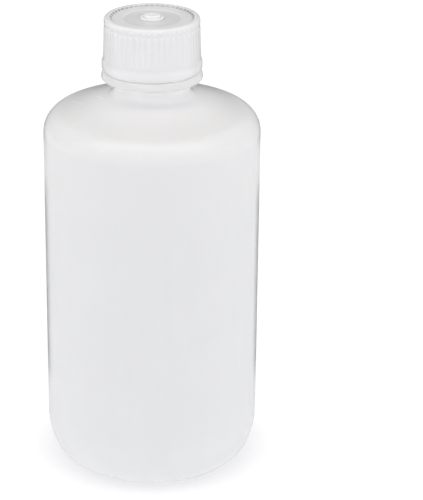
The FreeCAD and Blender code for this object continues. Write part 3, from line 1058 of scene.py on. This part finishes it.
        mesh = bmesh.from_edit_mesh(piece.data)
        heights = sorted({round(v.co.z / MM, 3) for v in mesh.verts
                          if reach(v.co) > 13.2 * MM and 121.3 * MM < v.co.z < 132.25 * MM})
        pitch = 360 / ribs.rib_count
        for height in heights:
            for side in range(RIB_COLUMNS // 2 + 1):
                sink = depth(side, height)
                if sink <= 0:
                    continue
                select_points(piece, lambda p: (
                    abs(p.z / MM - height) < 0.02 and reach(p) > 12.8 * MM
                    and round(abs(azimuth(p) % pitch - pitch / 2) / pitch * RIB_COLUMNS) == side
                ))
                factor = 1 - sink / 13.4
                stretch(factor, factor, 1)

    @staticmethod
    def notch_recess(piece, ribs):
        """A shallow notch in the recess wall behind every valley."""
        pitch = 360 / ribs.rib_count
        select_points(piece, lambda p: (
            11.38 * MM < reach(p) < 11.64 * MM and p.z > 132.3 * MM
            and abs(azimuth(p) % pitch - pitch / 2) > pitch * 0.25
        ))
        stretch(NOTCH_FACTOR, NOTCH_FACTOR, 1)

    @staticmethod
    def bridge_moat(piece):
        """Fill the narrow moat round the boss at its front and back, where the cap was gated."""
        for middle in (270, 90):
            select_points(piece, lambda p: (
                2.3 * MM < reach(p) < 2.54 * MM and p.z > 132.4 * MM
                and abs(azimuth(p) - middle) < 9
            ))
            bpy.ops.transform.translate(value=(0, 0, 0.17 * MM))


class CapSizes(bpy.types.PropertyGroup):
    """Sizes of the cap's grip."""
    rib_count: IntProperty(
        name="Ribs", description="Number of ribs round the skirt",
        default=RIB_COUNT, min=12, max=96)
    rib_depth: FloatProperty(
        name="Rib depth", description="How far a rib stands out of the skirt",
        default=0.09 * MM, unit="LENGTH")


# ---- stage

class BOTTLE_OT_stage(bpy.types.Operator):
    """Lay the pale floor and place the camera, the soft light and the white surround"""
    bl_idname = "bottle.make_stage"
    bl_label = "Stage"

    def execute(self, context):
        stage = context.scene.bottle_stage
        self.lay_floor(stage)
        self.place_camera(context, stage)
        self.place_light(stage)
        self.light_surround(context, stage)
        context.scene.view_settings.view_transform = "Standard"
        return {"FINISHED"}

    @staticmethod
    def lay_floor(stage):
        select_nothing()
        bpy.ops.mesh.primitive_circle_add(vertices=96, radius=stage.floor_radius,
                                          fill_type="NGON", location=(0, 0, 0))
        floor = bpy.context.object
        floor.name = floor.data.name = "floor"
        bpy.ops.object.mode_set(mode="EDIT")
        pick_all()
        bpy.ops.mesh.inset(thickness=stage.floor_radius * 0.8)
        bpy.ops.transform.translate(value=(0, 0, -0.02 * MM))
        leave_edit()
        material = bpy.data.materials.new("Pale floor")
        net = fresh_net(material)
        place = net.add("TexCoord").outputs["Object"]
        away = net.measure("LENGTH", place)
        spread = net.span(away, *FLOOR_SPREAD)
        x, y, _ = net.parts(place)
        beside = net.math("SUBTRACT", net.math("ABSOLUTE", x), DARK_HALF_WIDTH)
        slope = net.math("DIVIDE", beside, net.math("MAXIMUM", y, 0.001))
        dark = net.times(
            net.span(slope, *DARK_SLOPE, 1.0, 0.0), net.span(y, *DARK_STARTS, 0.0, 1.0),
            net.span(away, *DARK_NEAR, 0.0, 1.0),
            net.math("MAXIMUM", net.span(away, *DARK_FADES),
                     net.span(away, *DARK_RETURNS)),
        )
        mirrored = net.span(dark, 0.0, 1.0, FLOOR_MIRRORED, FLOOR_DARK)
        path = net.add("LightPath")
        bounced = net.blend(path.outputs["Is Glossy Ray"], spread, mirrored)
        bounce = net.add("Emission")
        net.join(bounced, bounce.inputs["Strength"])
        paper = net.add("BsdfDiffuse")
        grain = net.span(net.noise(place, 400.0, 3.0), 0.2, 0.8, 0.0, 1.0)
        net.join(net.mix(grain, *FLOOR_COLOURS), paper.inputs["Color"])
        glow = net.add("Emission")
        lit = net.span(away, *SHADOW_RADII, stage.floor_glow * SHADOW_SHARE, stage.floor_glow)
        net.join(lit, glow.inputs["Strength"])
        seen = net.add("AddShader")
        net.join(paper.outputs[0], seen.inputs[0])
        net.join(glow.outputs[0], seen.inputs[1])
        net.camera_sees(path, seen.outputs[0], bounce.outputs[0], "OutputMaterial")
        floor.data.materials.append(material)

    @staticmethod
    def place_camera(context, stage):
        select_nothing()
        bpy.ops.object.camera_add(location=(0, -stage.distance, stage.height),
                                  rotation=(math.pi / 2 - stage.tilt, 0, 0))
        camera = bpy.context.object
        camera.name = "camera"
        camera.data.lens = stage.lens
        camera.data.sensor_width = 36
        camera.data.shift_x = stage.left_of_middle
        camera.data.clip_start = 0.01
        context.scene.camera = camera

    @staticmethod
    def place_light(stage):
        select_nothing()
        away = [place - target for place, target in zip(SOFTBOX_PLACE, SOFTBOX_TARGET)]
        tilt = math.acos(away[2] / math.sqrt(sum(part * part for part in away)))
        turn = math.atan2(away[1], away[0]) + math.pi / 2
        bpy.ops.object.light_add(type="AREA", location=SOFTBOX_PLACE, rotation=(tilt, 0, turn))
        light = bpy.context.object
        light.name = light.data.name = "overhead_softbox"
        light.data.shape = "RECTANGLE"
        light.data.size, light.data.size_y = SOFTBOX_SIZE
        light.data.energy = stage.overhead
        light.data.color = SOFTBOX_COLOUR

    @staticmethod
    def light_surround(context, stage):
        world = bpy.data.worlds.new("White surround")
        context.scene.world = world
        net = fresh_net(world)
        way = net.add("TexCoord").outputs["Generated"]
        _, back, up = net.parts(way)
        spread = net.ramp(up, SURROUND_SPREAD)
        spread = net.times(spread, net.span(back, *SPREAD_BACK))
        mirrored = net.ramp(up, SURROUND_MIRRORED)
        mirrored = net.times(mirrored, net.span(back, *MIRRORED_BACK))
        path = net.add("LightPath")
        lit = net.add("Background")
        net.join(net.blend(path.outputs["Is Glossy Ray"], spread, mirrored),
                 lit.inputs["Strength"])
        white = net.add("Background")
        white.inputs["Color"].default_value = (1, 1, 1, 1)
        white.inputs["Strength"].default_value = stage.surround
        lit.inputs["Color"].default_value = SURROUND_TINT
        net.camera_sees(path, white.outputs[0], lit.outputs[0], "OutputWorld")


class BOTTLE_PT_panel(bpy.types.Panel):
    """The bottle's pieces and their settings"""
    bl_label = "Reagent bottle"
    bl_idname = "BOTTLE_PT_panel"
    bl_space_type = "VIEW_3D"
    bl_region_type = "UI"
    bl_category = "Bottle"

    def draw(self, context):
        for settings in ("bottle_threads", "bottle_cap", "bottle_plastics", "bottle_stage"):
            box = self.layout.box()
            group = getattr(context.scene, settings)
            for name in group.__annotations__:
                box.prop(group, name)
        for operator in PIECES:
            self.layout.operator(operator.bl_idname)


PIECES = (BOTTLE_OT_bottle, BOTTLE_OT_seal, BOTTLE_OT_cap, BOTTLE_OT_stage)
SETTINGS = {
    "bottle_threads": ThreadSizes,
    "bottle_cap": CapSizes,
    "bottle_plastics": PlasticLook,
    "bottle_stage": StageLook,
}
CLASSES = (*SETTINGS.values(), *PIECES, BOTTLE_PT_panel)


def register():
    for item in CLASSES:
        bpy.utils.register_class(item)
    for name, item in SETTINGS.items():
        setattr(bpy.types.Scene, name, PointerProperty(type=item))


def unregister():
    for name in SETTINGS:
        delattr(bpy.types.Scene, name)
    for item in reversed(CLASSES):
        bpy.utils.unregister_class(item)


def main():
    register()
    bpy.ops.bottle.make_bottle()
    bpy.ops.bottle.make_seal()
    bpy.ops.bottle.make_cap()
    bpy.ops.bottle.make_stage()


if __name__ == "__main__":
    main()
